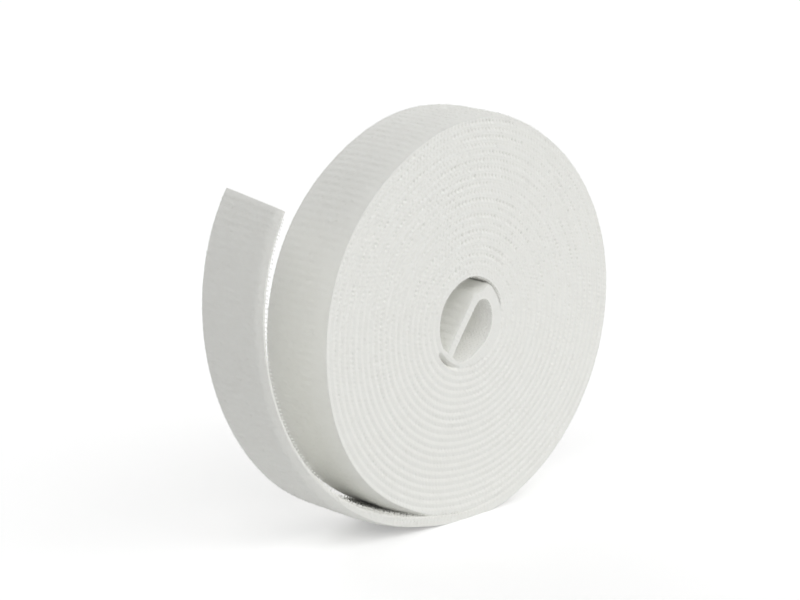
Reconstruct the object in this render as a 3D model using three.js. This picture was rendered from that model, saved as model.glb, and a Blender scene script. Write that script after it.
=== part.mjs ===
// A roll of back-to-back tape: a soft loop tape and a stiffer hook tape, bonded back to back and
// wound together round a small open bore, with a folded inner end and a free tail.
// Millimetres, +Z up. The roll's axis lies along Y, and the origin is on the floor, under the axis.
// Seen from the front, along +Y, the tape winds outwards clockwise, with its loops on the outside.

import * as THREE from "three";

// The two tapes
const tapeWidth = 25;
const loopThickness = 0.9;
const hookThickness = 0.78;
const bondGap = 0.3; // between the backs of the two tapes, where the bonding film lies
const turnGap = 0.3; // between the hooks of one turn and the loops of the turn inside it
const freePile = 1.2; // how much taller the loops are at the foot, where no turn is wound over them
const tipPile = 0.2; // and at the tail's tip

// The winding
const boreRadius = 11.2; // to the hooks of the innermost turn, where the fold starts
const boreDrop = 1.2; // how far the bore has sunk below the middle of the outermost turn
const turns = 21.375; // from the fold in the bore to the foot
const stepsPerTurn = 24;

// The folded inner end
const foldRadius = 4; // of the bond line
const foldTurn = 107.5; // degrees, from the innermost turn to the straight end
const foldSteps = 8;
const innerEndClearance = 1.2; // from the cut end to the turn that it points at

// The free tail, whose bend changes evenly from each of these radii to the next
const tailLength = 150.5;
const tailRootBend = 202;
const tailLowBend = 66; // a third of the way from the root
const tailHighBend = 74.5; // two thirds of the way
const tailTipBend = 56;
const tailCutSkew = 2.8; // how much shorter the tail is along its front edge
const tailSegments = 6;
const stepsPerTailSegment = 3;
const flexGap = 0.6; // between two stretches of tape that bend at a line

// What follows from them
const pitch = loopThickness + bondGap + hookThickness + turnGap;
const loopLayer = { inner: bondGap / 2, outer: bondGap / 2 + loopThickness, hasPile: 1 };
const hookLayer = { inner: -bondGap / 2 - hookThickness, outer: -bondGap / 2, hasPile: 0 };
const windingSteps = Math.round(turns * stepsPerTurn);
const stepAngle = (2 * Math.PI) / stepsPerTurn;
const footAngle = 1.5 * Math.PI;
const boreBondRadius = boreRadius - hookLayer.inner;
const outerBondRadius = boreBondRadius + (pitch * (windingSteps - 1)) / stepsPerTurn;
const axisHeight = (outerBondRadius + loopLayer.outer + freePile) * Math.cos(stepAngle / 2);

// A station is a point of the bond line, with the unit normal that points to the loop side, and how
// much taller the loops are there than between two turns.
function station(x, z, normalAngle, pile = 0) {
  return { x, z, nx: Math.cos(normalAngle), nz: Math.sin(normalAngle), pile };
}

// The angle of a step of the winding, counted from the bore. The last step lies level on the floor.
function windingAngle(step) {
  return footAngle - stepAngle / 2 + (windingSteps - step) * stepAngle;
}

// The spiral grows by one pitch a turn up to the start of its level last step.
function windingStation(step) {
  const growth = Math.min(step, windingSteps - 1) / (windingSteps - 1);
  const radius = THREE.MathUtils.lerp(boreBondRadius, outerBondRadius, growth);
  const drop = THREE.MathUtils.lerp(boreDrop, 0, growth);
  const angle = windingAngle(step);
  const pile = freePile * THREE.MathUtils.smoothstep(step, windingSteps - 1 - stepsPerTurn / 4, windingSteps - 1);
  return station(radius * Math.cos(angle), axisHeight - drop + radius * Math.sin(angle), angle, pile);
}

// The fold: an arc that leaves the innermost turn, from its start at share 0 to its end at share 1.
function foldStation(share) {
  const start = windingStation(0);
  const startAngle = windingAngle(0);
  const angle = startAngle + share * THREE.MathUtils.degToRad(foldTurn);
  const centreX = start.x - foldRadius * start.nx;
  const centreZ = start.z - foldRadius * start.nz;
  return station(centreX + foldRadius * Math.cos(angle), centreZ + foldRadius * Math.sin(angle), angle);
}

// The straight inner end, a distance on from the fold, across the bore.
function innerEndStation(distance) {
  const start = foldStation(1);
  const normalAngle = Math.atan2(start.nz, start.nx);
  return station(start.x - distance * start.nz, start.z + distance * start.nx, normalAngle);
}

// The straight end stops short of the turn on the far side of the bore, half a turn out from the fold.
function innerEndReach() {
  const start = foldStation(1);
  const boreCentreZ = axisHeight - boreDrop;
  const reachRadius = boreRadius + pitch / 2 - innerEndClearance;
  const along = -start.x * start.nz + (start.z - boreCentreZ) * start.nx;
  const across = Math.abs(start.x * start.nx + (start.z - boreCentreZ) * start.nz) + loopLayer.outer;
  return Math.sqrt(reachRadius ** 2 - across ** 2) - along;
}

// The tail's bend at a distance from its root, as one over its radius.
function tailBend(distance) {
  const bends = [tailRootBend, tailLowBend, tailHighBend, tailTipBend];
  const place = (distance / tailLength) * (bends.length - 1);
  const first = Math.min(Math.floor(place), bends.length - 2);
  return THREE.MathUtils.lerp(1 / bends[first], 1 / bends[first + 1], place - first);
}

// The loops on the tail are as tall as at the foot near its root, and shorter from its middle on.
function tailPile(distance) {
  return THREE.MathUtils.lerp(freePile, tipPile, THREE.MathUtils.smoothstep(distance / tailLength, 0.2, 0.55));
}

// The tail carries on from the winding's last station and is walked in short straight strides.
function tailStation(distance) {
  const strides = 200;
  const stride = distance / strides;
  const root = windingStation(windingSteps);
  let { x, z } = root;
  let normalAngle = windingAngle(windingSteps);
  for (let i = 0; i < strides; i++) {
    const turn = tailBend((i + 0.5) * stride) * stride;
    x += stride * Math.sin(normalAngle - turn / 2);
    z -= stride * Math.cos(normalAngle - turn / 2);
    normalAngle -= turn;
  }
  return station(x, z, normalAngle, tailPile(distance));
}

// Stations at even spacing from one distance to another.
function spaced(stationAt, from, to, steps) {
  return Array.from({ length: steps + 1 }, (_, i) => stationAt(from + ((to - from) * i) / steps));
}

// One closed strip of tape between two offsets from the bond line. The stations of its front edge
// and of its back edge are the same, but for a cut that runs askew.
function strip(frontStations, layer, backStations = frontStations) {
  const positions = [];
  const triangles = [];
  const corner = (s, side, offset) => [s.x + s.nx * offset, (side * tapeWidth) / 2, s.z + s.nz * offset];
  frontStations.forEach((front, i) => {
    const back = backStations[i];
    const [frontOuter, backOuter] = [front, back].map((s) => layer.outer + layer.hasPile * s.pile);
    positions.push(...corner(front, -1, layer.inner), ...corner(front, -1, frontOuter));
    positions.push(...corner(back, 1, backOuter), ...corner(back, 1, layer.inner));
  });
  const quad = (a, b, c, d) => triangles.push(a, b, c, a, c, d);
  const last = 4 * (frontStations.length - 1);
  for (let base = 0; base < last; base += 4) {
    for (let c = 0; c < 4; c++) {
      const next = (c + 1) % 4;
      quad(base + c, base + 4 + c, base + 4 + next, base + next);
    }
  }
  quad(0, 1, 2, 3);
  quad(last + 3, last + 2, last + 1, last);
  const geometry = new THREE.BufferGeometry();
  geometry.setAttribute("position", new THREE.Float32BufferAttribute(positions, 3));
  geometry.setIndex(triangles);
  geometry.computeVertexNormals();
  return geometry;
}

// The least distance between the loop side of a wound strip and its hook side on another turn.
function leastSelfGap(stations, layer) {
  const quarterTurn = stepsPerTurn / 4;
  const side = (offset) => stations.map((s) => [s.x + s.nx * offset, s.z + s.nz * offset]);
  const [inner, outer] = [side(layer.inner), side(layer.outer)];
  let least = Infinity;
  outer.forEach(([x, z], i) => {
    inner.forEach(([otherX, otherZ], j) => {
      if (Math.abs(i - j) > quarterTurn) least = Math.min(least, Math.hypot(x - otherX, z - otherZ));
    });
  });
  return least;
}

const loopCloth = new THREE.MeshStandardMaterial({ color: 0xdedfd8, roughness: 0.95, metalness: 0 });
const hookCloth = new THREE.MeshStandardMaterial({ color: 0xe6e6df, roughness: 0.7, metalness: 0 });
const layers = [
  { name: "loop", layer: loopLayer, material: loopCloth },
  { name: "hook", layer: hookLayer, material: hookCloth },
];

const tapeRoll = new THREE.Group();

function addStretch(stretchName, frontStations, backStations = frontStations) {
  layers.forEach(({ name, layer, material }) => {
    const mesh = new THREE.Mesh(strip(frontStations, layer, backStations), material);
    mesh.name = `${name}_${stretchName}`;
    tapeRoll.add(mesh);
  });
}

// The winding, from the end of the fold round the bore and out to the foot
const foldStations = spaced((share) => foldStation(1 - share), 0, 1, foldSteps).slice(0, -1);
const windingStations = [...foldStations, ...spaced(windingStation, 0, windingSteps, windingSteps)];
addStretch("winding", windingStations);
layers.forEach(({ name, layer }) => {
  const gap = leastSelfGap(windingStations, layer).toFixed(2);
  console.log(`${name}_winding: least gap to itself ${gap} mm`);
});

// The straight end of the tape, across the bore
addStretch("inner_end", spaced(innerEndStation, innerEndReach(), flexGap, 1));

// The tail, in stretches that bend at the lines between them
const segmentLength = tailLength / tailSegments;
for (let i = 0; i < tailSegments; i++) {
  const from = i * segmentLength + (i === 0 ? flexGap : flexGap / 2);
  const to = (i + 1) * segmentLength;
  const backEnd = i === tailSegments - 1 ? to : to - flexGap / 2;
  const frontEnd = i === tailSegments - 1 ? to - tailCutSkew : backEnd;
  const front = spaced(tailStation, from, frontEnd, stepsPerTailSegment);
  const back = spaced(tailStation, from, backEnd, stepsPerTailSegment);
  addStretch(`tail_${i + 1}`, front, back);
}

export default tapeRoll;
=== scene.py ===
import math

import bpy
import numpy as np
from mathutils import Matrix, Vector


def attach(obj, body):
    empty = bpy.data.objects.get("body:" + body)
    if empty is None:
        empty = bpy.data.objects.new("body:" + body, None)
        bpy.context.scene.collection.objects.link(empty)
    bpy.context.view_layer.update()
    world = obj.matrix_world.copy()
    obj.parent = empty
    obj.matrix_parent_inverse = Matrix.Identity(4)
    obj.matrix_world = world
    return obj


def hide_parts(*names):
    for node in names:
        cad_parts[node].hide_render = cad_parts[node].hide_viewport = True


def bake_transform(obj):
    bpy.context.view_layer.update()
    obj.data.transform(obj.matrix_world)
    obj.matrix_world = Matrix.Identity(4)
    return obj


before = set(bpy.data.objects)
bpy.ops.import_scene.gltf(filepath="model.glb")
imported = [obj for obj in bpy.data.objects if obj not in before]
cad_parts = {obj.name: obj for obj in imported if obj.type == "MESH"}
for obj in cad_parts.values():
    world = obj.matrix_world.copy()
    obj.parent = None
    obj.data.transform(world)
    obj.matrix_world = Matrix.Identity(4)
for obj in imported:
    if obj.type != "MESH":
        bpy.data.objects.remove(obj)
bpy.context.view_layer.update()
scene = bpy.context.scene
mm = 0.001  # lengths below are in mm, as on the drawing, and meshes are made in metres

# The tape's middle line, where its two cloths are bonded, seen from the front along +Y
route = {
    "width": 25.0,
    "turns": 21.375,  # from the fold in the bore to the end of the flat foot
    "boreRadius": 12.13,
    "rimRadius": 60.77,
    "boreDrop": 1.2,  # the bore sits this much below the middle of the rim
    "axisHeight": 62.48,
    "footHalfAngle": 7.5,  # degrees of the rim, each way, that lie on the floor
    "footEase": (0.05, 0.45),  # radians from the foot, over which the winding goes out of round
    "foldAt": 0.03,  # turns from the start of the spiral
    "foldSag": 2.4,  # how far the fold and the turn after it hang into the bore
    "sagTurns": (0.26, 0.44),  # where that ends
    "foldRadius": 4.0,
    "foldTurn": 118.0,  # degrees
    "innerEnd": 17.2,  # straight length from the fold to the cut
    "innerEndBow": 0.1,  # towards the loops
    "slit": 0.85,  # the first turn hangs off the second by this much, low on the left
    "slitTurns": (0.4, 0.475, 0.53),  # where the slit starts, is widest and ends
    "slitDepth": 3.0,
    # how the rim differs from a circle: by how much, and where it points, in degrees
    "larger": 0.3,
    "offCentre": (0.46, -72.9),
    "oval": (0.43, 43.5),
    "threeSided": (0.37, -20.1),
    "fourSided": (0.2, -14.8),
    "fiveSided": (0.17, 7.4),
    "sixSided": (0.12, 27.6),
    "unevenness": 0.05,  # how unevenly the turns are wound
    "edgeSink": 0.25,  # how far the edges of the outermost turns have sunk
    "sinkWidth": 7.0,
    "sinkTurns": (5, 4),  # how many turns before the end it starts, and over how many it grows
    "tailLength": 150.5,
    "tailOver": 0.9,  # cut this much longer than drawn
    "tailBends": (202.0, 66.0, 74.5, 56.0),  # radii, at even distances from the root to the tip
    "tailSkew": 2.8,  # the front edge is cut this much shorter
    "tailTwist": (0.2, -0.25),  # how far out the front and back edges stand, most at a third of its length
    "twistShares": (0.03, 0.28, 0.38, 0.68),  # of that length, over which it comes and goes
    "flexLines": 6,
}
outOfRound = ("offCentre", "oval", "threeSided", "fourSided", "fiveSided", "sixSided")
# How finely that line is drawn
lineForm = {
    "windingPoints": 60001,
    "foldPoints": 201,
    "endPoints": 301,
    "tailStrides": 3000,
    "step": 0.08,  # between the points of the finished line
    "easeSteps": 60,  # reach of the easing at the tail's root
    "easeWidth": 22,
    "easeLength": 9,
}


def smooth01(low, high, value):
    share = np.clip((value - low) / (high - low), 0, 1)
    return share * share * (3 - 2 * share)


def windingAngle(turn):
    return np.radians(270 - route["footHalfAngle"] + (route["turns"] - turn) * 360)


# How far round from the foot a place on the winding is, 0 to 1
def offFoot(turn):
    fromFoot = np.mod(windingAngle(turn) - 0.5 * np.pi, 2 * np.pi) - np.pi
    return smooth01(*route["footEase"], np.abs(fromFoot))


def slitShare(turn):
    start, widest, end = route["slitTurns"]
    return smooth01(start, widest, turn) * (1 - smooth01(widest, end, turn))


# Radius and centre drop of the winding at a count of turns from the fold
def windingRadius(turn):
    grown = np.minimum(turn / (route["turns"] - 2 * route["footHalfAngle"] / 360), 1)
    radius = route["boreRadius"] + (route["rimRadius"] - route["boreRadius"]) * grown
    drop = route["boreDrop"] * (1 - grown)
    angle = windingAngle(turn)
    hanging = 1 - smooth01(*route["sagTurns"], turn)
    radius = radius - route["slit"] * slitShare(turn) - route["foldSag"] * hanging
    share = radius / route["rimRadius"]
    # two waves that shift from turn to turn
    wobble = np.sin(2 * angle + 0.6 + radius / 30) + 0.6 * np.sin(3 * angle + 2.1 - radius / 24)
    shape = route["unevenness"] * wobble + route["larger"]
    for count, form in enumerate(outOfRound, 1):
        size, direction = route[form]
        shape = shape + size * np.cos(count * (angle - math.radians(direction)))
    return radius + share * shape * offFoot(turn), drop


# How far a turn's line is from the next turn's, along the same ray
def turnSpacing(turn):
    radius, drop = windingRadius(turn)
    nextRadius, nextDrop = windingRadius(turn + 1)
    return nextRadius - radius + (drop - nextDrop) * np.sin(windingAngle(turn))


def arcLength(x, z):
    return np.hstack([[0], np.cumsum(np.hypot(np.diff(x), np.diff(z)))])


def makeTapeLine():
    turn = np.linspace(route["foldAt"], route["turns"], lineForm["windingPoints"])
    radius, drop = windingRadius(turn)
    angle = windingAngle(turn)
    windX = radius * np.cos(angle)
    windZ = route["axisHeight"] - drop + radius * np.sin(angle)
    # the fold and the straight inner end, from the cut to the first turn
    firstAngle = angle[0]
    centreX = windX[0] - route["foldRadius"] * math.cos(firstAngle)
    centreZ = windZ[0] - route["foldRadius"] * math.sin(firstAngle)
    foldAngle = firstAngle + np.radians(route["foldTurn"]) * np.linspace(1, 0, lineForm["foldPoints"])[:-1]
    foldX = centreX + route["foldRadius"] * np.cos(foldAngle)
    foldZ = centreZ + route["foldRadius"] * np.sin(foldAngle)
    distance = np.linspace(route["innerEnd"], 0, lineForm["endPoints"])[:-1]
    nx, nz = math.cos(foldAngle[0]), math.sin(foldAngle[0])
    bow = route["innerEndBow"] * np.sin(np.pi * distance / route["innerEnd"]) ** 2
    endX = foldX[0] - distance * nz + bow * nx
    endZ = foldZ[0] + distance * nx + bow * nz
    # the free tail, walked in short strides
    strides = lineForm["tailStrides"]
    stride = (route["tailLength"] + route["tailOver"]) / strides
    along = (np.arange(strides) + 0.5) * stride
    bends = np.array(route["tailBends"])
    bend = np.interp(along, np.linspace(0, route["tailLength"], len(bends)), 1 / bends)
    heading = angle[-1] - np.cumsum(bend) * stride + bend * stride / 2
    tailX = windX[-1] + np.cumsum(stride * np.sin(heading))
    tailZ = windZ[-1] - np.cumsum(stride * np.cos(heading))
    x = np.hstack([endX, foldX, windX, tailX])
    z = np.hstack([endZ, foldZ, windZ, tailZ])
    beforeWinding = np.full(len(endX) + len(foldX), -1.0)
    turns = np.hstack([beforeWinding, turn, np.full(strides, route["turns"])])
    s = arcLength(x, z)
    rootAt = s[len(beforeWinding) + len(turn) - 1]
    marks = {"foldEnd": s[len(endX)], "windingStart": s[len(beforeWinding)], "root": rootAt, "tip": s[-1]}
    # evenly spaced, and eased where the foot runs into the tail
    even = np.linspace(0, s[-1], int(s[-1] / lineForm["step"]))
    x, z, turns = np.interp(even, s, x), np.interp(even, s, z), np.interp(even, s, turns)
    reach = lineForm["easeSteps"]
    kernel = np.exp(-0.5 * (np.arange(-reach, reach + 1) / lineForm["easeWidth"]) ** 2)
    kernel /= kernel.sum()
    easing = np.exp(-(((even - rootAt) / lineForm["easeLength"]) ** 2))
    for line in (x, z):
        eased = np.convolve(np.pad(line, reach, mode="edge"), kernel, mode="valid")
        line += easing * (eased - line)
    tangentX, tangentZ = np.gradient(x, even), np.gradient(z, even)
    size = np.hypot(tangentX, tangentZ)
    line = {"s": even, "x": x, "z": z, "turn": turns, "tx": tangentX / size, "tz": tangentZ / size}
    return line, marks


tapeLine, marks = makeTapeLine()
segment = route["tailLength"] / route["flexLines"]


def lineAt(name, s):
    return np.interp(s, tapeLine["s"], tapeLine[name])


def atTurn(turn):
    inWinding = (tapeLine["s"] >= marks["windingStart"]) & (tapeLine["s"] <= marks["root"])
    return np.interp(turn, tapeLine["turn"][inWinding], tapeLine["s"][inWinding])


# A point of the tape, from its place along it, across it, and off its middle line towards the loops
def tapePoints(s, y, n):
    along = (s - marks["root"]) / route["tailLength"]
    front, back = route["tailTwist"]
    twist = front + (back - front) * (0.5 + y / route["width"])
    comes, full, goes, gone = route["twistShares"]
    n = n + twist * smooth01(comes, full, along) * (1 - smooth01(goes, gone, along))
    turn = lineAt("turn", s)
    before, over = route["sinkTurns"]
    sink = route["edgeSink"] * np.clip((turn - route["turns"] + before) / over, 0, 1) * offFoot(turn)
    n = n - sink * np.clip((np.abs(y) - route["width"] / 2) / route["sinkWidth"] + 1, 0, 1) ** 2
    x = lineAt("x", s) - lineAt("tz", s) * n
    z = lineAt("z", s) + lineAt("tx", s) * n
    return np.stack([x, y, z], axis=-1) * mm


print("tape line: %.3f m from cut end to cut end" % (marks["tip"] * mm))


# Repeatable noise on a grid, from -1 to 1
def scatter(i, j, seed):
    mixed = np.sin(i * 127.1 + j * 311.7 + seed * 74.7) * 43758.5453
    return 2 * (mixed - np.floor(mixed)) - 1


def patchNoise(u, v, seed):
    i, j = np.floor(u), np.floor(v)
    a, b = u - i, v - j
    a, b = a * a * (3 - 2 * a), b * b * (3 - 2 * b)
    low = scatter(i, j, seed) * (1 - a) + scatter(i + 1, j, seed) * a
    high = scatter(i, j + 1, seed) * (1 - a) + scatter(i + 1, j + 1, seed) * a
    return low * (1 - b) + high * b


# One bump for each pick of the weave, of uneven size
def picks(s, period, seed):
    pick = np.floor(s / period)
    share = s / period - pick
    return np.sin(np.pi * share) ** 2 * (0.6 + 0.4 * scatter(pick, 0 * pick, seed))


# The loop cloth, whose nap is the outside of every turn. A change runs from the first to the last of
# its places: turns before the winding's end, unless said otherwise, or shares of the tail's length
loopCloth = {
    "reach": 1.05,  # from the bond line to the top of the nap on the rim
    "footReach": 2.6,  # at the foot and along the tail's root
    "footTurns": (7 / 24, 1 / 24),
    "tipReach": 1.25,
    "tipShares": (0.3, 0.68),
    "foldReach": 2.1,  # on the fold and the inner end
    "foldFree": (4.4, 2.4),  # mm before the first turn, where it springs up to that
    "foldFill": 0.12,  # it fills the start of the fold, by this times the distance squared
    "foldFillLength": 3,
    "boreReach": 3.6,  # most that it can be on the turn after the fold
    "boreTurns": (0.52, 0.6),  # from the fold, where that ends
    "pressed": 1.32,  # most that it can be between two turns
    "underTail": 0.3,  # and how much more just under the tail's root
    "underTurns": (1.06, 1.01),
    "rimTurns": (1.0, 0.975),  # where it comes out from under the tail
    "freeTurns": (0.985, 0.945),  # where its edges do
    "freeFold": (3, 5),  # mm before and after the start of the first turn, where its edges are caught
    "rootSwell": 0.8,  # how much taller it is just past the tail's root, low on the rim
    "swellTurns": (-1.0, -0.975, -0.91, -0.83),  # after the winding's end, where that comes and goes
    "backSwell": 1.2,  # share of it on the back edge
    "round": 6.5,  # how far in from the edge the nap on the rim slopes away
    "lip": 0.22,  # thickness left at the rim's edge
    "boreRound": 1.2,  # on the inner end and the fold
    "boreLip": 0.85,  # share of the nap that stands there
    "tailRound": (2.9, 2.2),  # on the front and back edges of the tail
    "tailLip": (0.08, 0.55),  # shares of the nap
    "tailTurns": (0.3, 0.05),  # where the rim's edges turn into the tail's
    "rootRound": 1.5,  # on both edges by the tail's root
    "rootLip": 0.9,
    "rootShares": (0.12, 0.42),  # where that ends
    "pick": 1.45,
    "rib": 0.075,
    "ribPeriod": 2.4,
    "ribWander": 0.15,
    "nap": 0.07,
    "swell": 0.05,
}
# The hook cloth, bonded to its back
hookCloth = {
    "reach": 0.7,  # from the bond line to the ground that the hooks stand on
    "round": 0.3,
    "lip": 0.5,
    "share": 0.46,  # of the space between two turns
    "pressed": 1.12,
    "freeTurns": (1.0, 1.1),  # where it no longer shows in the bore
    "freeFoot": (16, 3),  # before the tail's root, over which it comes free
    "weave": 0.012,
    "weavePeriod": 1.1,
}
# The cut edges
edgeForm = {
    "bulge": 0.12,  # how far each pick stands out of the side of the roll
    "tuck": 0.3,  # share of that which is lost at the bond
    "groove": 0.05,  # least depth of the groove between two turns
    "dash": 0.48,  # how much deeper it is at each pick
    "loose": 0.5,  # deeper still by this share on top of the roll, and shallower at the foot
    "evenness": 0.6,  # the rest of its depth varies along the tape
    "patch": 16,  # length of tape that is alike
    "grooveWidth": 0.95,  # on each side
    "overlap": 0.004,  # of the two cloths, and of two turns, so that no light shows between
    "squeeze": 0.2,  # how much thinner the scissors left the cut ends
    "squeezeLength": 0.4,
}
floorGap = 0.02  # what lies on the floor clears it by this


# Share of the way from one count of turns before the winding's end to another
def nearEnd(before, turn):
    return smooth01(route["turns"] - before[0], route["turns"] - before[1], turn)


def loopFree(s):
    turn = lineAt("turn", s)
    before, after = loopCloth["freeFold"]
    inner = 1 - smooth01(marks["windingStart"] - before, marks["windingStart"] + after, s)
    return np.maximum(inner, nearEnd(loopCloth["freeTurns"], turn))


def hookFree(s):
    start, end = hookCloth["freeTurns"]
    far, near = hookCloth["freeFoot"]
    inner = 1 - smooth01(atTurn(start), atTurn(end), s)
    outer = smooth01(marks["root"] - far, marks["root"] - near, s)
    return np.maximum(inner, outer)


# Where the rim's nap has just sprung free of the tail
def rootShare(s):
    turn = lineAt("turn", s) - route["turns"]
    comes, full, goes, gone = loopCloth["swellTurns"]
    return smooth01(comes, full, turn) * (1 - smooth01(goes, gone, turn))


# How much of the space between two turns the hook cloth takes up
def pressedHooks(spacing):
    return np.minimum(hookCloth["share"] * spacing + edgeForm["overlap"], hookCloth["pressed"])


def loopReach(s):
    turn = lineAt("turn", s)
    inner = np.clip(turn, 0, route["turns"] - 1)
    byBore = 1 - smooth01(*loopCloth["boreTurns"], turn)
    most = loopCloth["pressed"] + (loopCloth["boreReach"] - loopCloth["pressed"]) * byBore
    most = most + loopCloth["underTail"] * nearEnd(loopCloth["underTurns"], turn)
    space = turnSpacing(inner) - hookReach(atTurn(inner + 1))
    pressed = np.minimum(space + 2 * edgeForm["overlap"], most)
    intoFold = np.clip(marks["windingStart"] - s, 0, loopCloth["foldFillLength"])
    pressed = pressed + loopCloth["foldFill"] * intoFold ** 2
    # the nap is tallest at the foot and along the tail's root
    low = nearEnd(loopCloth["footTurns"], turn)
    tall = loopCloth["reach"] + (loopCloth["footReach"] - loopCloth["reach"]) * low
    up = smooth01(*loopCloth["tipShares"], (s - marks["root"]) / route["tailLength"])
    tall = tall + (loopCloth["tipReach"] - loopCloth["footReach"]) * up
    tall = tall + loopCloth["rootSwell"] * rootShare(s)
    # and it springs up again in the bore
    far, near = loopCloth["foldFree"]
    inBore = 1 - smooth01(marks["windingStart"] - far, marks["windingStart"] - near, s)
    outside = nearEnd(loopCloth["rimTurns"], turn)
    return (pressed * (1 - outside) + tall * outside) * (1 - inBore) + loopCloth["foldReach"] * inBore


def hookReach(s):
    spacing = turnSpacing(np.clip(lineAt("turn", s) - 1, 0, route["turns"] - 1))
    free = hookFree(s)
    return pressedHooks(spacing) * (1 - free) + hookCloth["reach"] * free


# The sizes of a cloth's cross-section at places along the tape; pairs are for the front and back edges
def clothSection(s, cloth, side):
    free = (loopFree if side > 0 else hookFree)(s)[:, None]
    reach = (loopReach if side > 0 else hookReach)(s)[:, None]
    fromCuts = np.stack([marks["tip"] - s, s])
    squeezed = edgeForm["squeeze"] * np.exp(-fromCuts / edgeForm["squeezeLength"]).sum(axis=0)
    reach = reach * (1 - squeezed[:, None])
    # the hooks of a turn are caught in the loops of the turn inside it, pick by pick
    turn = lineAt("turn", s)
    caught = s if side > 0 else atTurn(turn - 1)
    caughtTurn = lineAt("turn", caught)
    dashes, bulges = [], []
    for edge in (0, 1):
        varied = patchNoise(caught / edgeForm["patch"], 0 * s, 31 + edge)
        strong = edgeForm["evenness"] + (1 - edgeForm["evenness"]) * varied
        strong = strong * (1 + edgeForm["loose"] * np.sin(windingAngle(caughtTurn)))
        dashes.append(picks(caught + 0.4 * edge, loopCloth["pick"], 40 + edge) * strong)
        bulges.append(picks(s + 0.5 * edge, loopCloth["pick"], 50 + edge))
    groove = edgeForm["groove"] + edgeForm["dash"] * np.stack(dashes, axis=1)
    groove = groove + route["slitDepth"] * slitShare(caughtTurn)[:, None]
    pressedLip = reach - edgeForm["grooveWidth"]
    freeLip, freeRound = np.full((1, 2), cloth["lip"]), np.full((1, 2), cloth["round"])
    if side > 0:
        onTail = nearEnd(cloth["tailTurns"], turn)[:, None]
        inBore = (turn < 1)[:, None]
        byRoot = 1 - smooth01(*cloth["rootShares"], (s - marks["root"]) / route["tailLength"])[:, None]
        tailLip = np.array([cloth["tailLip"]]) * (1 - byRoot) + cloth["rootLip"] * byRoot
        tailRound = np.array([cloth["tailRound"]]) * (1 - byRoot) + cloth["rootRound"] * byRoot
        freeLip = freeLip * (1 - onTail) + tailLip * reach * onTail
        swell = np.array([[0.0, cloth["backSwell"]]])
        freeLip = freeLip + cloth["rootSwell"] * rootShare(s)[:, None] * swell
        freeLip = np.where(inBore, cloth["boreLip"] * reach, freeLip)
        freeRound = freeRound * (1 - onTail) + tailRound * onTail
        freeRound = np.where(inBore, cloth["boreRound"], freeRound)
    return {
        "reach": reach,
        "lip": pressedLip * (1 - free) + freeLip * free,
        "round": groove * (1 - free) + freeRound * free,
        "bulge": edgeForm["bulge"] * np.stack(bulges, axis=1),
    }


# The tail's tip is cut askew
def skewed(s, y):
    last = smooth01(marks["tip"] - 0.6 * segment, marks["tip"], s)
    return s - last * route["tailSkew"] * (0.5 - y / route["width"])


# Points round a cross-section: shares across the flat, degrees round a corner, shares down an edge
woundRing = {"flat": [-1, 1], "corner": [18, 36, 54, 72, 90], "edge": [0], "soft": True}
napRing = {
    "flat": np.linspace(-1, 1, 47),
    "corner": np.linspace(9, 90, 10),
    "edge": [0.55, 0],
    "soft": False,
}
groundRing = {"flat": np.linspace(-1, 1, 35), "corner": [30, 60, 90], "edge": [0.5, 0], "soft": False}


# Each ring goes across the outer side, round the back edge, under, and round the front edge
def clothRings(s, cloth, side, ring, relief):
    half = route["width"] / 2
    size = clothSection(s, cloth, side)
    s = s[:, None]
    reach, bond = size["reach"], -edgeForm["overlap"]
    flat = np.asarray(ring["flat"])[None, :]
    yFlat = flat * (half - np.where(flat < 0, size["round"][:, :1], size["round"][:, 1:]))
    nFlat = reach + relief(s + 0 * yFlat, yFlat)
    corner = np.radians(ring["corner"])[None, :]
    edge = np.asarray(ring["edge"])[None, :]
    parts = []
    for index, way in ((0, -1), (1, 1)):
        lip, turnIn, bulge = (size[key][:, index : index + 1] for key in ("lip", "round", "bulge"))
        # a soft groove runs out level where it meets the next turn
        level = 1 - corner / (np.pi / 2) if ring["soft"] else np.cos(corner) ** 2
        inwards = smooth01(0, 1, level) if ring["soft"] else 1 - np.sin(corner)
        yCorner = way * (half - turnIn * inwards + bulge * (1 - smooth01(0, 1, level)))
        nCorner = lip + (reach - lip + relief(s + 0 * yCorner, yCorner)) * level
        yEdge = way * (half + bulge * (1 - edgeForm["tuck"] * (1 - edge) ** 2))
        ySide = np.hstack([yCorner, yEdge])
        nSide = np.hstack([nCorner, bond + (lip - bond) * edge])
        parts.append((ySide, nSide))
    (yFront, nFront), (yBack, nBack) = parts
    y = np.hstack([yFlat, yBack, yFront[:, ::-1]])
    n = np.hstack([nFlat, nBack, nFront[:, ::-1]])
    return skewed(s + 0 * y, y), y, n * side


def noRelief(s, y):
    return 0 * y


# Ribs across the tape, broken into dashes, with tufts and a slow swell, in patches of so many mm
def napRelief(s, y):
    wander = loopCloth["ribWander"] * patchNoise(s / 9, y / 5, 1)
    ribs = np.cos(2 * np.pi * (s + wander) / loopCloth["ribPeriod"])
    dashes = 0.6 + 0.4 * patchNoise(s / 2.4, y / 1.8, 2)
    tufts = 0.5 * patchNoise(s / 0.9, y / 0.9, 4) + 0.5 * patchNoise(s / 0.5, y / 0.6, 5)
    swell = patchNoise(s / 14, y / 9, 6)
    return loopCloth["rib"] * ribs * dashes + loopCloth["nap"] * tufts + loopCloth["swell"] * swell


def weaveRelief(s, y):
    period = hookCloth["weavePeriod"]
    return hookCloth["weave"] * np.sin(2 * np.pi * s / period) * np.sin(2 * np.pi * y / period)


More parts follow.
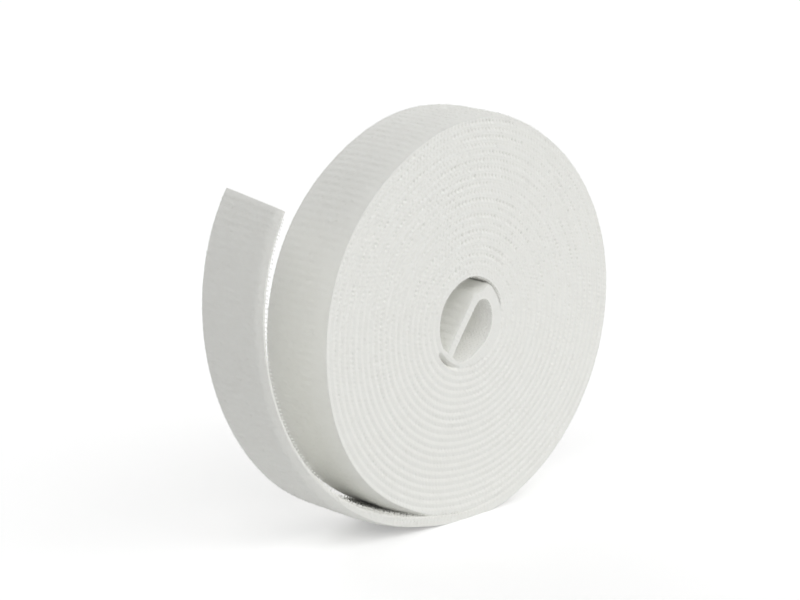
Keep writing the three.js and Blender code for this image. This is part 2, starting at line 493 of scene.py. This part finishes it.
# A mesh from arrays of polygons, each array with one number of corners
def meshFrom(name, vertices, polygons):
    corners = np.hstack([p.ravel() for p in polygons]).astype(np.int32)
    sizes = np.hstack([np.full(len(p), p.shape[1]) for p in polygons]).astype(np.int32)
    mesh = bpy.data.meshes.new(name)
    mesh.vertices.add(len(vertices))
    mesh.vertices.foreach_set("co", np.asarray(vertices, np.float32).ravel())
    mesh.loops.add(len(corners))
    mesh.loops.foreach_set("vertex_index", corners)
    mesh.polygons.add(len(sizes))
    mesh.polygons.foreach_set("loop_start", np.hstack([[0], np.cumsum(sizes)[:-1]]).astype(np.int32))
    mesh.polygons.foreach_set("loop_total", sizes)
    mesh.update(calc_edges=True)
    mesh.shade_smooth()
    return mesh, corners


def addMap(mesh, name, uv):
    layer = mesh.uv_layers.new(name=name)
    layer.data.foreach_set("uv", np.asarray(uv, np.float32).ravel())


def addPiece(name, data):
    piece = bpy.data.objects.new(name, data)
    scene.collection.objects.link(piece)
    return piece


# Faces of a closed tube, from ring to ring, and its two ends
def tubeFaces(rows, count):
    i = np.arange(rows - 1)[:, None] * count
    j = np.arange(count)[None, :]
    k = (j + 1) % count
    quads = np.stack([i + j, i + k, i + count + k, i + count + j], axis=-1).reshape(-1, 4)
    caps = np.stack([np.arange(count)[::-1], (rows - 1) * count + np.arange(count)])
    return quads, caps


# Room in the map for baking, mostly as shares of a lane or cell
bakeForm = {
    "hidden": 0.4,  # mm for a side that is hidden
    "endMargin": 0.003,
    "laneMargin": 0.04,
    "capMargin": 0.06,
    "capRoom": 1.1,
    "capHeight": 1.5,  # mm
    "cellMargin": 0.1,
}


def withMargin(margin, share):
    return margin + (1 - 2 * margin) * share


# A closed strip of cloth, with an even run of normals up to both ends
def clothStrip(name, start, end, spacing, cloth, side, ring, relief):
    rows = max(2, int(round((end - start) / spacing)) + 1)
    step = (end - start) / (rows - 1)
    s = start + step * np.arange(-1, rows + 1)
    sRing, y, n = clothRings(s, cloth, side, ring, relief)
    points = tapePoints(sRing, y, n)
    points[..., 2] = np.maximum(points[..., 2], floorGap * mm)  # the foot stands on the floor
    sRing, y, n = sRing[1:-1], y[1:-1], n[1:-1]
    count = points.shape[1]
    underAt = len(ring["flat"]) + len(ring["corner"]) + len(ring["edge"]) - 1
    after, before = np.roll(points, -1, axis=1), np.roll(points, 1, axis=1)
    after[:, underAt] = points[:, underAt]
    before[:, underAt + 1] = points[:, underAt + 1]
    if ring["soft"]:
        flatEnd = len(ring["flat"]) - 1
        after[:, 0], before[:, flatEnd] = points[:, 0], points[:, flatEnd]
    normals = np.cross(points[2:] - points[:-2], (after - before)[1:-1]) * side
    normals /= np.maximum(np.linalg.norm(normals, axis=-1, keepdims=True), 1e-12)
    points = points[1:-1]
    quads, caps = tubeFaces(rows, count)
    if side > 0:
        quads, caps = quads[:, ::-1], caps[:, ::-1]
    mesh, corners = meshFrom(name, points.reshape(-1, 3), [quads, caps])
    cornerNormals = normals.reshape(-1, 3)[corners]
    for at, (place, way) in enumerate(((start, -1), (end, 1))):
        first = 4 * len(quads) + at * count
        cornerNormals[first : first + count] = (way * lineAt("tx", place), 0, way * lineAt("tz", place))
    # a map of the pattern, in mm: along the tape, and round its cross-section
    girth = np.linalg.norm(np.roll(points, -1, axis=1) - points, axis=-1).mean(axis=0) / mm
    around = np.hstack([[0], np.cumsum(girth)])
    quadJ = np.repeat(np.tile(np.arange(count), rows - 1), 4)
    inQuads = corners[: 4 * len(quads)]
    jOfCorner = np.where((quadJ == count - 1) & (inQuads % count == 0), count, inQuads % count)
    inCaps = corners[4 * len(quads) :]
    capU = sRing.ravel()[inCaps] + n.ravel()[inCaps]
    u = np.hstack([sRing.ravel()[inQuads], capU])
    v = np.hstack([around[jOfCorner], y.ravel()[inCaps]])
    addMap(mesh, "tapeMap", np.stack([u, v], axis=1))
    # a map for baking, in lanes, with little room for what is hidden under the next turn
    shown = girth.copy()
    shown[underAt] = bakeForm["hidden"]
    if len(ring["flat"]) == 2:
        shown[0] = bakeForm["hidden"]
    lane = np.hstack([[0], np.cumsum(shown)]) / shown.sum()
    lanes = max(1, int(round(math.sqrt((end - start) / shown.sum()))))
    laneOf = np.arange(rows - 1) * lanes // (rows - 1)
    laneStart = np.searchsorted(laneOf, np.arange(lanes))
    laneLength = np.diff(np.hstack([laneStart, [rows - 1]]))
    quadI = np.repeat(np.repeat(np.arange(rows - 1), count), 4)
    quadLane = laneOf[quadI]
    inLane = (inQuads // count - laneStart[quadLane]) / laneLength[quadLane]
    bakeU = withMargin(bakeForm["endMargin"], inLane)
    bakeV = (quadLane + withMargin(bakeForm["laneMargin"], lane[jOfCorner])) / (lanes + 1)
    # its two cut ends lie side by side in one more lane
    second = np.arange(len(inCaps)) >= count
    capAcross = y.ravel()[inCaps] / (bakeForm["capRoom"] * route["width"]) + 0.5
    capUp = np.clip(np.abs(n.ravel()[inCaps]) / bakeForm["capHeight"], 0, 1)
    capU = (withMargin(bakeForm["capMargin"], capAcross) + second) / 2
    capV = (lanes + withMargin(bakeForm["cellMargin"], capUp)) / (lanes + 1)
    bakeMap = np.stack([np.hstack([bakeU, capU]), np.hstack([bakeV, capV])], axis=1)
    addMap(mesh, "OFBake", bakeMap)
    mesh.normals_split_custom_set(cornerNormals)
    return addPiece(name, mesh)


# Where one stretch of the tape ends and the next starts
seams = {
    "afterFold": 4,  # from where the straight end meets the fold
    "middleTurn": 14.6,
    "lastTurns": 1.18,  # before the winding's end
    "beforeRoot": 12,
}
# How finely the strips are made
stripForm = {
    "rowsPerPick": 4,  # where they are wound
    "lastTurn": 0.32,
    "freeLoops": 0.22,
    "freeHooks": 0.27,
}
foldSeam = marks["foldEnd"] + seams["afterFold"]
middleSeam = atTurn(seams["middleTurn"])
outerStart = atTurn(route["turns"] - seams["lastTurns"])
footSeam = marks["root"] - seams["beforeRoot"]
tailSeams = [footSeam]
for k in range(route["flexLines"] - 1):
    tailSeams.append(marks["root"] + (k + 0.5) * segment)
tailSeams.append(marks["tip"])
stretches = {
    "inner_end": (0, foldSeam),
    "inner_turns": (foldSeam, middleSeam),
    "outer_turns": (middleSeam, outerStart),
    "last_turn": (outerStart, footSeam),
}
for k in range(route["flexLines"]):
    stretches["tail_%d" % (k + 1)] = (tailSeams[k], tailSeams[k + 1])

loopStrips, hookStrips = {}, {}
woundStep = loopCloth["pick"] / stripForm["rowsPerPick"]
for key, (start, end) in stretches.items():
    wound = key.endswith("turns")
    loopStep = woundStep if wound else stripForm["lastTurn" if key == "last_turn" else "freeLoops"]
    ring, relief = (woundRing, noRelief) if wound else (napRing, napRelief)
    loopStrips[key] = clothStrip("loop_tape_" + key, start, end, loopStep, loopCloth, 1, ring, relief)
    hidden = wound or key == "last_turn"
    ring, relief = (woundRing, noRelief) if hidden else (groundRing, weaveRelief)
    hookStep = woundStep if hidden else stripForm["freeHooks"]
    hookStrips[key] = clothStrip("hook_tape_" + key, start, end, hookStep, hookCloth, -1, ring, relief)
allStrips = [*loopStrips.values(), *hookStrips.values()]
print("tape wound:", sum(len(p.data.polygons) for p in allStrips), "faces")

# The hooks that stand on the hook cloth where it shows
hookForm = {
    "height": 0.72,
    "heights": (-0.12, 0.08),  # how much that varies, as shares
    "boreShare": 0.4,  # of that height in the bore, where they are bent over
    "sunk": 0.06,  # how deep they are set in the cloth
    "curl": 0.34,
    "radius": 0.12,
    "alongSpacing": 1.3,
    "rowSpacing": 1.5,
    "margin": 0.12,  # from the outermost row to the edge
    "jitter": 0.16,
    "lean": 0.22,
    "sides": 5,
}
# The loops that stand out of the nap, and out of the cut edges
loopForm = {
    "height": 0.24,
    "heights": (0.5, 1.15),  # shares of it
    "span": 0.75,
    "radius": 0.035,
    "sides": 3,
    "spacing": 1.2,  # on the nap, each way
    "jitter": 0.6,  # share of that
    "margin": 0.25,  # from the outermost row to the edge
    "edgeSpacing": 1.0,
    "edgeHeight": 0.14,
    "edgeHeights": (0.4, 1.1),  # shares of it
    "edgePlaces": (-0.6, 0.95),  # shares of the edge, from the hook side to the loop side
    "edgeLeast": 0.7,  # counted as its loop side where it is thinner
    "fringeSpacing": 0.2,  # on the edges of the tail
    "fringeHeight": 0.3,
    "lean": 0.5,
}
# Where they start and end
standForm = {
    "cutHooks": 0.8,  # from the inner cut
    "cutLoops": 0.4,
    "boreHooks": 1.02,  # turns
    "fringe": 0.2,  # turns
    "lastLoops": 2,  # before the foot's seam
    "rootHooks": 6,  # before the tail's root
    "rootLoops": 2,  # after it
    "tip": 1.0,  # from the tail's tip
}


# A bent filament in its own frame: a lies along the tape, b stands away from it, c lies across
def filament(path, thick, sides):
    heading = np.gradient(path, axis=0)
    heading /= np.linalg.norm(heading, axis=1, keepdims=True)
    turnBy = np.linspace(0, 2 * np.pi, sides, endpoint=False)
    a = path[:, :1] - heading[:, 1:] * thick[:, None] * np.cos(turnBy)
    b = path[:, 1:] + heading[:, :1] * thick[:, None] * np.cos(turnBy)
    c = thick[:, None] * np.sin(turnBy)
    return np.stack([a, b, c], axis=-1).reshape(-1, 3), *tubeFaces(len(path), sides), sides


def hookFilament():
    high, curl = hookForm["height"], hookForm["curl"]
    path = [
        [0, 0],
        [0.02, 0.35 * high],
        [0.05, 0.68 * high],
        [0.35 * curl, 0.93 * high],
        [0.8 * curl, high],
        [1.15 * curl, 0.86 * high],
        [1.25 * curl, 0.66 * high],
    ]
    thick = hookForm["radius"] * np.array([1.25, 1.0, 0.95, 0.95, 0.9, 0.8, 0.55])
    return filament(np.array(path), thick, hookForm["sides"])


# Half a turn, with both feet sunk in the cloth
def loopFilament(height):
    turnBy = np.linspace(np.pi, 0, 6)
    along = loopForm["span"] / 2 * np.cos(turnBy)
    up = 1.3 * height * np.sin(turnBy) - 0.3 * height
    return filament(np.stack([along, up], axis=1), np.full(len(up), loopForm["radius"]), loopForm["sides"])


# Sets one filament at each place, with its foot there and its three axes given
def standFilaments(name, template, foot, axes, tall):
    points, quads, caps, sides = template
    same = np.ones_like(tall)
    local = points[None, :, :] * np.stack([same, tall, same], axis=1)[:, None, :]
    vertices = foot[:, None, :] + np.einsum("ipk,ikx->ipx", local, axes)
    count, per = len(foot), len(points)
    handed = np.linalg.det(axes).mean() > 0
    offset = (np.arange(count) * per)[:, None, None]
    polygons = [(faces[None] + offset).reshape(-1, faces.shape[1]) for faces in (quads, caps)]
    if not handed:
        polygons = [p[:, ::-1] for p in polygons]
    vertices[..., 2] = np.maximum(vertices[..., 2], floorGap)
    mesh, corners = meshFrom(name, vertices.reshape(-1, 3) * mm, polygons)
    # each filament has a cell of the map for baking
    cells = math.ceil(math.sqrt(count))
    which, ringAt = corners // per, (corners % per) // sides
    aroundAt = (corners % per) % sides
    u = (which % cells + withMargin(bakeForm["cellMargin"], ringAt / (per // sides - 1))) / cells
    v = (which // cells + withMargin(bakeForm["cellMargin"], aroundAt / (sides - 1))) / cells
    addMap(mesh, "OFBake", np.stack([u, v], axis=1))
    return addPiece(name, mesh)


# The tape's own directions at places along it: forwards, towards the loops, and across
def tapeAxes(s):
    tx, tz, none = lineAt("tx", s), lineAt("tz", s), 0 * s
    forwards = np.stack([tx, none, tz], axis=1)
    outwards = np.stack([-tz, none, tx], axis=1)
    return forwards, outwards, np.stack([none, none + 1, none], axis=1)


def standHooks(name, start, end, seed, height=1.0):
    draw = np.random.default_rng(seed)
    inner = route["width"] / 2 - hookForm["margin"]
    rows = int(round(2 * inner / hookForm["rowSpacing"])) + 1
    spacing = hookForm["alongSpacing"]
    steps = np.arange(math.ceil(start / spacing), int(end / spacing) + 1)
    row, step = (grid.ravel() for grid in np.meshgrid(np.arange(rows), steps, indexing="ij"))
    s = (step + 0.5 * (row % 2)) * spacing
    row, s = row[(s >= start) & (s < end)], s[(s >= start) & (s < end)]
    facing = np.where(row // 2 % 2, 1.0, -1.0)[:, None]
    s = s + draw.uniform(-1, 1, len(s)) * hookForm["jitter"]
    y = inner * (2 * row / (rows - 1) - 1) + draw.uniform(-1, 1, len(s)) * hookForm["jitter"]
    lean = draw.uniform(-1, 1, (len(s), 2, 1)) * hookForm["lean"]
    forwards, outwards, across = tapeAxes(s)
    away = -outwards + lean[:, 0] * forwards + lean[:, 1] * across
    foot = tapePoints(skewed(s, y), y, -(hookReach(s) - hookForm["sunk"])) / mm
    tall = height * (1 + draw.uniform(*hookForm["heights"], len(s)))
    axes = np.stack([facing * forwards, away, facing * across], axis=1)
    return standFilaments(name, hookFilament(), foot, axes, tall)


# Axes of loops that stand up one way, leaning and turned at random
def looseAxes(draw, up, forwards, aside, handed=1):
    turnBy = draw.uniform(0, np.pi, len(up))[:, None]
    lean = draw.uniform(-1, 1, (len(up), 2, 1)) * loopForm["lean"]
    away = up + lean[:, 0] * forwards + lean[:, 1] * aside
    first = np.cos(turnBy) * forwards + np.sin(turnBy) * aside
    second = handed * (np.cos(turnBy) * aside - np.sin(turnBy) * forwards)
    return np.stack([first, away, second], axis=1)


# Height of the free nap at a place across the tape
def napHeight(s, y):
    size = clothSection(s, loopCloth, 1)
    lip, turnIn = (np.where(y < 0, size[key][:, 0], size[key][:, 1]) for key in ("lip", "round"))
    into = np.clip((np.abs(y) - route["width"] / 2 + turnIn) / turnIn, 0, 1)
    return lip + (size["reach"][:, 0] - lip) * (1 - into * into)


def standLoops(name, start, end, seed):
    draw = np.random.default_rng(seed)
    half = route["width"] / 2 - loopForm["margin"]
    spacing, jitter = loopForm["spacing"], loopForm["jitter"]
    rows = int(2 * half / spacing) + 1
    steps = int((end - start) / spacing)
    count = rows * steps
    y = np.repeat(np.linspace(-half, half, rows), steps)
    s = np.tile(start + (np.arange(steps) + 0.5) * (end - start) / steps, rows)
    s = np.clip(s + draw.uniform(-jitter, jitter, count) * spacing, start, end)
    y = np.clip(y + draw.uniform(-jitter, jitter, count) * spacing, -half, half)
    forwards, outwards, across = tapeAxes(s)
    axes = looseAxes(draw, outwards, forwards, across)
    foot = tapePoints(skewed(s, y), y, napHeight(s, y) + napRelief(s, y)) / mm
    tall = draw.uniform(*loopForm["heights"], count)
    return standFilaments(name, loopFilament(loopForm["height"]), foot, axes, tall)


# Loops that stand out of the cut edges, on the front (-1), the back (1) or each in turn
def standEdgeLoops(name, start, end, ways, seed, spacing, height):
    draw = np.random.default_rng(seed)
    count = int((end - start) / spacing)
    s = start + (np.arange(count) + draw.uniform(0, 1, count)) * spacing
    way = np.resize(np.array(ways, float), count)
    lip = clothSection(s, loopCloth, 1)["lip"][np.arange(count), (way > 0).astype(int)]
    n = draw.uniform(*loopForm["edgePlaces"], count)
    n = n * np.where(n > 0, np.maximum(lip, loopForm["edgeLeast"]), hookReach(s))
    forwards, outwards, across = tapeAxes(s)
    axes = looseAxes(draw, way[:, None] * across, forwards, outwards, way[:, None])
    y = way * route["width"] / 2
    foot = tapePoints(skewed(s, y), y, n) / mm
    tall = draw.uniform(*loopForm["edgeHeights"], count)
    return standFilaments(name, loopFilament(height), foot, axes, tall)


inBore = hookForm["boreShare"]
hooks = {"inner_end": standHooks("hooks_inner_end", standForm["cutHooks"], foldSeam, 11, inBore)}
hooks["inner_turns"] = standHooks("hooks_bore", foldSeam, atTurn(standForm["boreHooks"]), 12, inBore)
loops = {"inner_end": standLoops("loops_inner_end", standForm["cutLoops"], foldSeam, 41)}
edgeOfTurns = (loopForm["edgeSpacing"], loopForm["edgeHeight"])
fringeStart = atTurn(standForm["fringe"])
edgeLoops = {
    "outer_turns": standEdgeLoops("fringe_front", fringeStart, footSeam, [-1], 61, *edgeOfTurns),
    "inner_turns": standEdgeLoops("fringe_back", fringeStart, footSeam, [1], 62, *edgeOfTurns),
}
lastEnd = footSeam - standForm["lastLoops"]
loops["last_turn"] = standLoops("loops_last_turn", atTurn(route["turns"] - 1), lastEnd, 42)
firstHooks, firstLoops = marks["root"] - standForm["rootHooks"], marks["root"] + standForm["rootLoops"]
fringe = (loopForm["fringeSpacing"], loopForm["fringeHeight"])
for k in range(route["flexLines"]):
    key, isTip = "tail_%d" % (k + 1), k == route["flexLines"] - 1
    start, end = tailSeams[k], tailSeams[k + 1] - (standForm["tip"] if isTip else 0)
    hooks[key] = standHooks("hooks_" + key, max(start, firstHooks), end, 20 + k)
    loops[key] = standLoops("loops_" + key, max(start, firstLoops), end, 50 + k)
    edgeLoops[key] = standEdgeLoops("fringe_" + key, start, end, (-1, 1), 70 + k, *fringe)
filaments = [*hooks.values(), *loops.values(), *edgeLoops.values()]
print("hooks and loops standing:", sum(len(p.data.polygons) for p in filaments), "faces")

# Finishes; grain and weave are fibres or threads per mm, and how deep they are
loopFinish = {
    "colour": (0.93, 0.935, 0.90),
    "shade": (0.90, 0.90, 0.86),
    "grain": (2.6, 0.16),
    "weave": (0.8, 0.02),
    "sheen": 0.25,
}
hookFinish = {
    "colour": (0.96, 0.96, 0.925),
    "shade": (0.935, 0.935, 0.895),
    "grain": (3.2, 0.10),
    "weave": (1.4, 0.08),
    "sheen": 0.1,
}
finishes = {
    "bump": 0.6,
    # patches per mm, and the ranges of patches and fibres that go from shade to colour
    "mottleScale": 0.22,
    "mottleRange": (0.3, 0.7),
    "fibreRange": (0.3, 0.75),
    "filamentScale": 900.0,  # per metre
    "sheenRoughness": 0.6,
    "roughness": (0.86, 0.98),
    "nylonRoughness": 0.45,
    "clothSpecular": 0.25,
    "filamentSpecular": 0.3,
}


def newGroup(name, inputs, outputs):
    group = bpy.data.node_groups.new(name, "ShaderNodeTree")
    for socketName, kind, value in inputs:
        socket = group.interface.new_socket(socketName, in_out="INPUT", socket_type="NodeSocket" + kind)
        if value is not None:
            socket.default_value = value
    for socketName, kind in outputs:
        group.interface.new_socket(socketName, in_out="OUTPUT", socket_type="NodeSocket" + kind)
    return group, group.nodes.new("NodeGroupInput"), group.nodes.new("NodeGroupOutput")


# Links sockets to a node's inputs, and sets plain values
def setInputs(tree, node, inputs):
    for key, value in inputs.items():
        if isinstance(value, bpy.types.NodeSocket):
            tree.links.new(value, node.inputs[key])
        else:
            node.inputs[key].default_value = value


def addNode(tree, kind, inputs=None, **settings):
    node = tree.nodes.new("ShaderNode" + kind)
    for key, value in settings.items():
        setattr(node, key, value)
    setInputs(tree, node, inputs or {})
    return node


def mathNode(tree, operation, *values):
    return addNode(tree, "Math", dict(enumerate(values)), operation=operation).outputs[0]


def mapRange(tree, value, fromRange=(0, 1), toRange=(0, 1)):
    limits = zip(("From Min", "From Max", "To Min", "To Max"), (*fromRange, *toRange))
    return addNode(tree, "MapRange", {"Value": value, **dict(limits)}).outputs[0]


def makeFibreGroup():
    group, given, result = newGroup(
        "fibreGrain",
        [
            ("Place", "Vector", None),
            ("Fibre Scale", "Float", 3.0),
            ("Mottle Scale", "Float", 0.25),
        ],
        [("Fibre", "Float"), ("Mottle", "Float")],
    )
    place, fineScale, broadScale = (given.outputs[key] for key in ("Place", "Fibre Scale", "Mottle Scale"))
    fineForm = {"Vector": place, "Scale": fineScale, "Detail": 3.0, "Roughness": 0.65, "Distortion": 0.8}
    fine = addNode(group, "TexNoise", fineForm)
    broad = addNode(group, "TexNoise", {"Vector": place, "Scale": broadScale, "Detail": 2.0})
    setInputs(group, result, {"Fibre": fine.outputs["Fac"], "Mottle": broad.outputs["Fac"]})
    return group


def makeWeaveGroup():
    group, given, result = newGroup(
        "plainWeave",
        [("Place", "Vector", None), ("Threads Per Mm", "Float", 1.0)],
        [("Height", "Float")],
    )
    place, perMm = given.outputs["Place"], given.outputs["Threads Per Mm"]
    scaled = addNode(group, "VectorMath", {0: place, "Scale": perMm}, operation="SCALE")
    split = addNode(group, "SeparateXYZ", {0: scaled.outputs[0]})
    waves = []
    for axis in ("X", "Y"):
        angle = mathNode(group, "MULTIPLY", split.outputs[axis], math.pi)
        waves.append(mathNode(group, "SINE", angle))
    crossed = mathNode(group, "MULTIPLY", *waves)
    setInputs(group, result, {"Height": mathNode(group, "MULTIPLY_ADD", crossed, 0.5, 0.5)})
    return group


fibreGroup, weaveGroup = makeFibreGroup(), makeWeaveGroup()


def newMaterial(name):
    material = bpy.data.materials.new(name)
    material.use_nodes = True
    return material, material.node_tree, material.node_tree.nodes["Principled BSDF"]


# The mix node's colours are its inputs 6 and 7 and its output 2
def mixColours(tree, factor, low, high):
    mix = addNode(tree, "Mix", {"Factor": factor}, data_type="RGBA")
    mix.inputs[6].default_value = (*low, 1)
    mix.inputs[7].default_value = (*high, 1)
    return mix.outputs[2]


def clothMaterial(name, colour, shade, grain, weave, sheen):
    material, tree, shader = newMaterial(name)
    place = addNode(tree, "UVMap", uv_map="tapeMap").outputs["UV"]
    fibreForm = {"Place": place, "Fibre Scale": grain[0], "Mottle Scale": finishes["mottleScale"]}
    fibre = addNode(tree, "Group", fibreForm, node_tree=fibreGroup)
    threadForm = {"Place": place, "Threads Per Mm": weave[0]}
    threads = addNode(tree, "Group", threadForm, node_tree=weaveGroup)
    tint = mapRange(tree, fibre.outputs["Mottle"], finishes["mottleRange"])
    speck = mapRange(tree, fibre.outputs["Fibre"], finishes["fibreRange"])
    factor = mathNode(tree, "MULTIPLY", mathNode(tree, "ADD", tint, speck), 0.5)
    low, high = finishes["roughness"]
    woven = mathNode(tree, "MULTIPLY", threads.outputs["Height"], weave[1])
    total = mathNode(tree, "MULTIPLY_ADD", fibre.outputs["Fibre"], grain[1], woven)
    bump = addNode(tree, "Bump", {"Height": total, "Strength": finishes["bump"], "Distance": mm})
    look = {
        "Base Color": mixColours(tree, factor, shade, colour),
        "Roughness": mapRange(tree, speck, toRange=(high, low)),
        "Normal": bump.outputs["Normal"],
        "Specular IOR Level": finishes["clothSpecular"],
        "Sheen Weight": sheen,
        "Sheen Roughness": finishes["sheenRoughness"],
    }
    setInputs(tree, shader, look)
    return material


# A filament's colour varies a little from one to the next
def filamentMaterial(name, finish, roughness):
    material, tree, shader = newMaterial(name)
    place = addNode(tree, "TexCoord")
    scale = finishes["filamentScale"]
    noise = addNode(tree, "TexNoise", {"Vector": place.outputs["Object"], "Scale": scale})
    look = {
        "Base Color": mixColours(tree, noise.outputs["Fac"], finish["shade"], finish["colour"]),
        "Roughness": roughness,
        "Specular IOR Level": finishes["filamentSpecular"],
    }
    setInputs(tree, shader, look)
    return material


napMaterial = clothMaterial("brushedNap", **loopFinish)
groundMaterial = clothMaterial("hookGround", **hookFinish)
hookMaterial = filamentMaterial("hookNylon", hookFinish, finishes["nylonRoughness"])
loopMaterial = filamentMaterial("loopFilament", loopFinish, finishes["roughness"][0])
wearers = (
    (loopStrips, napMaterial, "loop_cloth"),
    (loops, loopMaterial, "loop_cloth"),
    (edgeLoops, loopMaterial, "loop_cloth"),
    (hookStrips, groundMaterial, "hook_cloth"),
    (hooks, hookMaterial, "hook_cloth"),
)
for pieces, material, slotName in wearers:
    for piece in pieces.values():
        piece.data.materials.append(material)
print("finishes made")


def isWound(key):
    return key.endswith(("turns", "turn"))


# Wound pieces ride on the roll; the others stay where they are made
def follow(piece, key):
    if isWound(key):
        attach(piece, "roll")
    elif key == "inner_end":
        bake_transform(piece)
    else:
        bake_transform(piece)


# Each piece is set on its body or left in place, and the solids that the strips stand for are hidden
for pieces, material, slotName in wearers:
    for key, piece in pieces.items():
        follow(piece, key)
for strips, layer in ((loopStrips, "loop"), (hookStrips, "hook")):
    for key, strip in strips.items():
        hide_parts("%s_%s" % (layer, "winding" if isWound(key) else key))

# Both cloths were cut from the same width; this loop only reads each strip's stretch
cloths = (
    (loopStrips, hookStrips, (loops, edgeLoops)),
    (hookStrips, loopStrips, (hooks,)),
)
for strips, others, standing in cloths:
    for key, strip in strips.items():
        start, end = stretches[key]

# Camera, from the photograph's view
view = {
    "azimuth": -44.8,
    "elevation": 14.3,
    "lens": 135.0,
    "sensor": 36,
    "distance": 901.4,
    "right": 12.1,
    "up": -3.08,
    "clip": (0.01, 50),  # metres
}
azimuth, elevation = math.radians(view["azimuth"]), math.radians(view["elevation"])
level = math.cos(elevation)
rightWay = Vector((math.cos(azimuth), math.sin(azimuth), 0))
backWay = Vector((math.sin(azimuth) * level, -math.cos(azimuth) * level, math.sin(elevation)))
upWay = backWay.cross(rightWay)
aim = Vector((0, 0, route["axisHeight"]))
place = aim - rightWay * view["right"] - upWay * view["up"] + backWay * view["distance"]
turned = Matrix((rightWay, upWay, backWay)).transposed().to_4x4()
camera = addPiece("camera", bpy.data.cameras.new("camera"))
camera.data.lens = view["lens"]
camera.data.sensor_width = view["sensor"]
camera.data.clip_start, camera.data.clip_end = view["clip"]
camera.matrix_world = Matrix.Translation(place * mm) @ turned
scene.camera = camera

# Stage and light
studio = {
    "ambient": 0.2,
    # direction from the roll to each softbox, and how bright it makes a white surface facing it
    "softboxes": {
        "key": ((0.55, -0.65, 0.5), 0.2),
        "front": ((0, -0.8, 0.6), 0.17),
        "side": ((-0.45, -0.45, 0.77), 0.26),
        "back": ((0, 0.6, 0.8), 0.13),
        "behind": ((0.4, 0.88, 0.25), 0.37),
    },
    "spread": 50.0,  # degrees across, as of large softboxes
    "floorHalf": 4,  # metres
    "floorColour": (0.9, 0.9, 0.9),
    "floorGlow": 0.315,
}
world = bpy.data.worlds.new("studio")
scene.world = world
world.use_nodes = True
worldTree = world.node_tree
background = worldTree.nodes["Background"]
rays = addNode(worldTree, "LightPath")
seen = mathNode(worldTree, "MAXIMUM", rays.outputs["Is Camera Ray"], rays.outputs["Is Glossy Ray"])
seen = mathNode(worldTree, "MAXIMUM", seen, rays.outputs["Is Transmission Ray"])
strength = mapRange(worldTree, seen, toRange=(studio["ambient"], 1.0))
setInputs(worldTree, background, {"Color": (1, 1, 1, 1), "Strength": strength})
for name, (comesFrom, brightness) in studio["softboxes"].items():
    lamp = bpy.data.lights.new(name, "SUN")
    lamp.angle = math.radians(studio["spread"])
    lamp.energy = brightness * math.pi
    softbox = addPiece(name, lamp)
    softbox.rotation_mode = "QUATERNION"
    softbox.rotation_quaternion = Vector(comesFrom).to_track_quat("Z", "Y")

floorMesh = bpy.data.meshes.new("floor")
half = studio["floorHalf"]
floorCorners = [(-half, -half, 0), (half, -half, 0), (half, half, 0), (-half, half, 0)]
floorMesh.from_pydata(floorCorners, [], [(0, 1, 2, 3)])
floor = addPiece("floor", floorMesh)
floorMaterial, floorTree, floorShader = newMaterial("paleFloor")
floorRays = addNode(floorTree, "LightPath")
glow = mathNode(floorTree, "MULTIPLY", floorRays.outputs["Is Camera Ray"], studio["floorGlow"])
floorLook = {
    "Base Color": (*studio["floorColour"], 1),
    "Roughness": 1.0,
    "Specular IOR Level": 0.0,
    "Emission Color": (1, 1, 1, 1),
    "Emission Strength": glow,
}
setInputs(floorTree, floorShader, floorLook)
floorMesh.materials.append(floorMaterial)
scene.view_settings.view_transform = "Standard"
print("camera, light and floor set")
